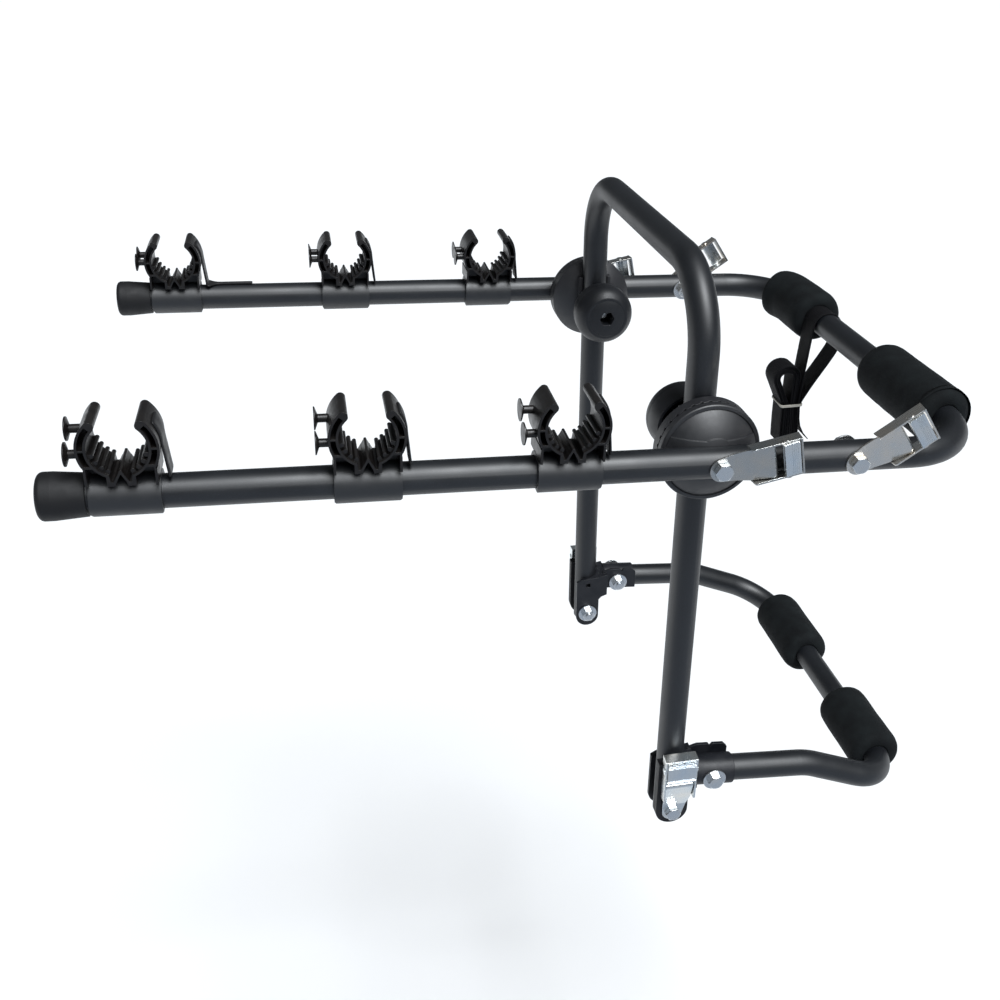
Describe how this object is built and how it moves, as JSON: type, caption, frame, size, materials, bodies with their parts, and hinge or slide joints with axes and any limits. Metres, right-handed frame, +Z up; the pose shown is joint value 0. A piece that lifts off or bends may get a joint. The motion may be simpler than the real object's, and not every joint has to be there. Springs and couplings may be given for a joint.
{
  "type": "car bike rack",
  "caption": "Rear-mount folding bicycle carrier: a tubular arch with legs, tilted carrying arms with clip cradles, a lower brace frame, foam pads and cam buckles.",
  "frame": {"origin": "middle of the hub axis, on the rack's plane of symmetry", "axes": "+X towards the car, +Y across it along the hub axis, +Z up; the carrying arms' tips are at -X and raised by 2.5 degrees"},
  "size_m": [0.7696, 0.4868, 0.584],
  "materials": {
    "tube_paint": "satin black powder coat",
    "bracket_paint": "satin black powder coat",
    "hub_plastic": "satin black moulding",
    "knob_plastic": "matt black moulding",
    "spacer_plastic": "matt black moulding",
    "cap_rubber": "matt black",
    "foam": "matt black closed-cell foam",
    "cradle_plastic": "satin black moulding",
    "sleeve_plastic": "satin black moulding",
    "strap_rubber": "satin black",
    "zinc_sheet": "bright zinc plate",
    "zinc_lever": "bright zinc plate",
    "zinc_fastener": "bright zinc plate",
    "web_fabric": "black ribbed weave",
    "band_rubber": "pale rubber"
  },
  "bodies": {
    "leg_frame": {"arch_tube": "tube_paint", "hub_inner_near": "hub_plastic", "hub_inner_far": "hub_plastic", "hub_bolts": "zinc_fastener", "foot_bolts": "zinc_fastener", "foot_washers": "zinc_fastener", "foot_nuts": "zinc_fastener", "foot_spacer_near": "spacer_plastic", "foot_spacer_far": "spacer_plastic"},
    "carrying_frame": {"arm_tube": "tube_paint", "arm_cap_near": "cap_rubber", "arm_cap_far": "cap_rubber", "hub_outer_near": "hub_plastic", "hub_outer_far": "hub_plastic", "upper_pad_near": "foam", "upper_pad_far": "foam", "cradle_near_1": "cradle_plastic", "cradle_near_2": "cradle_plastic", "cradle_near_3": "cradle_plastic", "cradle_far_1": "cradle_plastic", "cradle_far_2": "cradle_plastic", "cradle_far_3": "cradle_plastic", "sleeves_near": "sleeve_plastic", "sleeves_far": "sleeve_plastic", "straps_near": "strap_rubber", "straps_far": "strap_rubber", "bar_bolts": "zinc_fastener", "bar_washers": "zinc_fastener", "bar_nuts": "zinc_fastener", "webbing": "web_fabric", "rubber_band": "band_rubber"},
    "lower_frame": {"lower_tube": "tube_paint", "bracket_near": "bracket_paint", "bracket_far": "bracket_paint", "lower_pad_near": "foam", "lower_pad_far": "foam", "socket_bolts": "zinc_fastener", "socket_washers": "zinc_fastener", "socket_nuts": "zinc_fastener"},
    "saddle_near": {"saddle_near": "hub_plastic"},
    "knob_near": {"knob_near": "knob_plastic", "knob_nut_near": "zinc_fastener"},
    "hub_buckle_near": {"hub_buckle_near": "zinc_sheet"},
    "hub_lever_near": {"hub_lever_near": "zinc_lever"},
    "bar_buckle_near": {"bar_buckle_near": "zinc_sheet"},
    "bar_lever_near": {"bar_lever_near": "zinc_lever"},
    "foot_buckle_near": {"foot_buckle_near": "zinc_sheet"},
    "foot_lever_near": {"foot_lever_near": "zinc_lever"},
    "saddle_far": {"saddle_far": "hub_plastic"},
    "knob_far": {"knob_far": "knob_plastic", "knob_nut_far": "zinc_fastener"},
    "hub_buckle_far": {"hub_buckle_far": "zinc_sheet"},
    "hub_lever_far": {"hub_lever_far": "zinc_lever"},
    "bar_buckle_far": {"bar_buckle_far": "zinc_sheet"},
    "bar_lever_far": {"bar_lever_far": "zinc_lever"},
    "foot_buckle_far": {"foot_buckle_far": "zinc_sheet"},
    "foot_lever_far": {"foot_lever_far": "zinc_lever"}
  },
  "joints": [
    {"name": "arms_fold", "type": "hinge", "parent": "leg_frame", "child": "carrying_frame", "pos_m": [0, 0, 0], "axis": [0, 1, 0], "range_deg": [-87.5, 45]},
    {"name": "lower_frame_fold", "type": "hinge", "parent": "leg_frame", "child": "lower_frame", "pos_m": [0, 0, -0.396], "axis": [0, 1, 0], "range_deg": [0, 90]},
    {"name": "saddle_slide_near", "type": "slide", "parent": "leg_frame", "child": "saddle_near", "axis": [0, 1, 0], "range_m": [0, 0.0025]},
    {"name": "knob_turn_near", "type": "hinge", "parent": "saddle_near", "child": "knob_near", "pos_m": [0, -0.12, 0], "axis": [0, 1, 0], "range_deg": [0, 720]},
    {"name": "hub_buckle_turn_near", "type": "hinge", "parent": "leg_frame", "child": "hub_buckle_near", "pos_m": [0, -0.2305, 0], "axis": [0, 1, 0], "range_deg": [-60, 60]},
    {"name": "hub_lever_lift_near", "type": "hinge", "parent": "hub_buckle_near", "child": "hub_lever_near", "pos_m": [0.04864, -0.2379, 0.00919], "axis": [0.1857, 0, -0.9826], "range_deg": [0, 55], "stiffness_Nm_per_rad": 0.05, "springref_deg": -22.92},
    {"name": "bar_buckle_turn_near", "type": "hinge", "parent": "carrying_frame", "child": "bar_buckle_near", "pos_m": [0.11189, -0.2305, -0.00488], "axis": [0, 1, 0], "range_deg": [-60, 60]},
    {"name": "bar_lever_lift_near", "type": "hinge", "parent": "bar_buckle_near", "child": "bar_lever_near", "pos_m": [0.15317, -0.2379, 0.02244], "axis": [0.5519, 0, -0.8339], "range_deg": [0, 55], "stiffness_Nm_per_rad": 0.05, "springref_deg": -22.92},
    {"name": "foot_buckle_turn_near", "type": "hinge", "parent": "leg_frame", "child": "foot_buckle_near", "pos_m": [0, -0.1877, -0.396], "axis": [0, 1, 0], "range_deg": [-60, 3]},
    {"name": "foot_lever_lift_near", "type": "hinge", "parent": "foot_buckle_near", "child": "foot_lever_near", "pos_m": [0, -0.1951, -0.3375], "axis": [-1, 0, 0], "range_deg": [0, 55], "stiffness_Nm_per_rad": 0.05, "springref_deg": -22.92},
    {"name": "saddle_slide_far", "type": "slide", "parent": "leg_frame", "child": "saddle_far", "axis": [0, -1, 0], "range_m": [0, 0.0025]},
    {"name": "knob_turn_far", "type": "hinge", "parent": "saddle_far", "child": "knob_far", "pos_m": [0, 0.12, 0], "axis": [0, -1, 0], "range_deg": [0, 720]},
    {"name": "hub_buckle_turn_far", "type": "hinge", "parent": "leg_frame", "child": "hub_buckle_far", "pos_m": [0, 0.2305, 0], "axis": [0, 1, 0], "range_deg": [-60, 60]},
    {"name": "hub_lever_lift_far", "type": "hinge", "parent": "hub_buckle_far", "child": "hub_lever_far", "pos_m": [0.04864, 0.2379, 0.00919], "axis": [-0.1857, 0, 0.9826], "range_deg": [0, 55], "stiffness_Nm_per_rad": 0.05, "springref_deg": -22.92},
    {"name": "bar_buckle_turn_far", "type": "hinge", "parent": "carrying_frame", "child": "bar_buckle_far", "pos_m": [0.11189, 0.2305, -0.00488], "axis": [0, 1, 0], "range_deg": [-60, 60]},
    {"name": "bar_lever_lift_far", "type": "hinge", "parent": "bar_buckle_far", "child": "bar_lever_far", "pos_m": [0.15317, 0.2379, 0.02244], "axis": [-0.5519, 0, 0.8339], "range_deg": [0, 55], "stiffness_Nm_per_rad": 0.05, "springref_deg": -22.92},
    {"name": "foot_buckle_turn_far", "type": "hinge", "parent": "leg_frame", "child": "foot_buckle_far", "pos_m": [0, 0.1877, -0.396], "axis": [0, 1, 0], "range_deg": [-60, 3]},
    {"name": "foot_lever_lift_far", "type": "hinge", "parent": "foot_buckle_far", "child": "foot_lever_far", "pos_m": [0, 0.1951, -0.3375], "axis": [1, 0, 0], "range_deg": [0, 55], "stiffness_Nm_per_rad": 0.05, "springref_deg": -22.92}
  ],
  "couplings": [
    {"joint": "saddle_slide_near", "follows": "knob_turn_near", "m_per_rad": 0.00019894},
    {"joint": "saddle_slide_far", "follows": "knob_turn_far", "m_per_rad": 0.00019894}
  ]
}
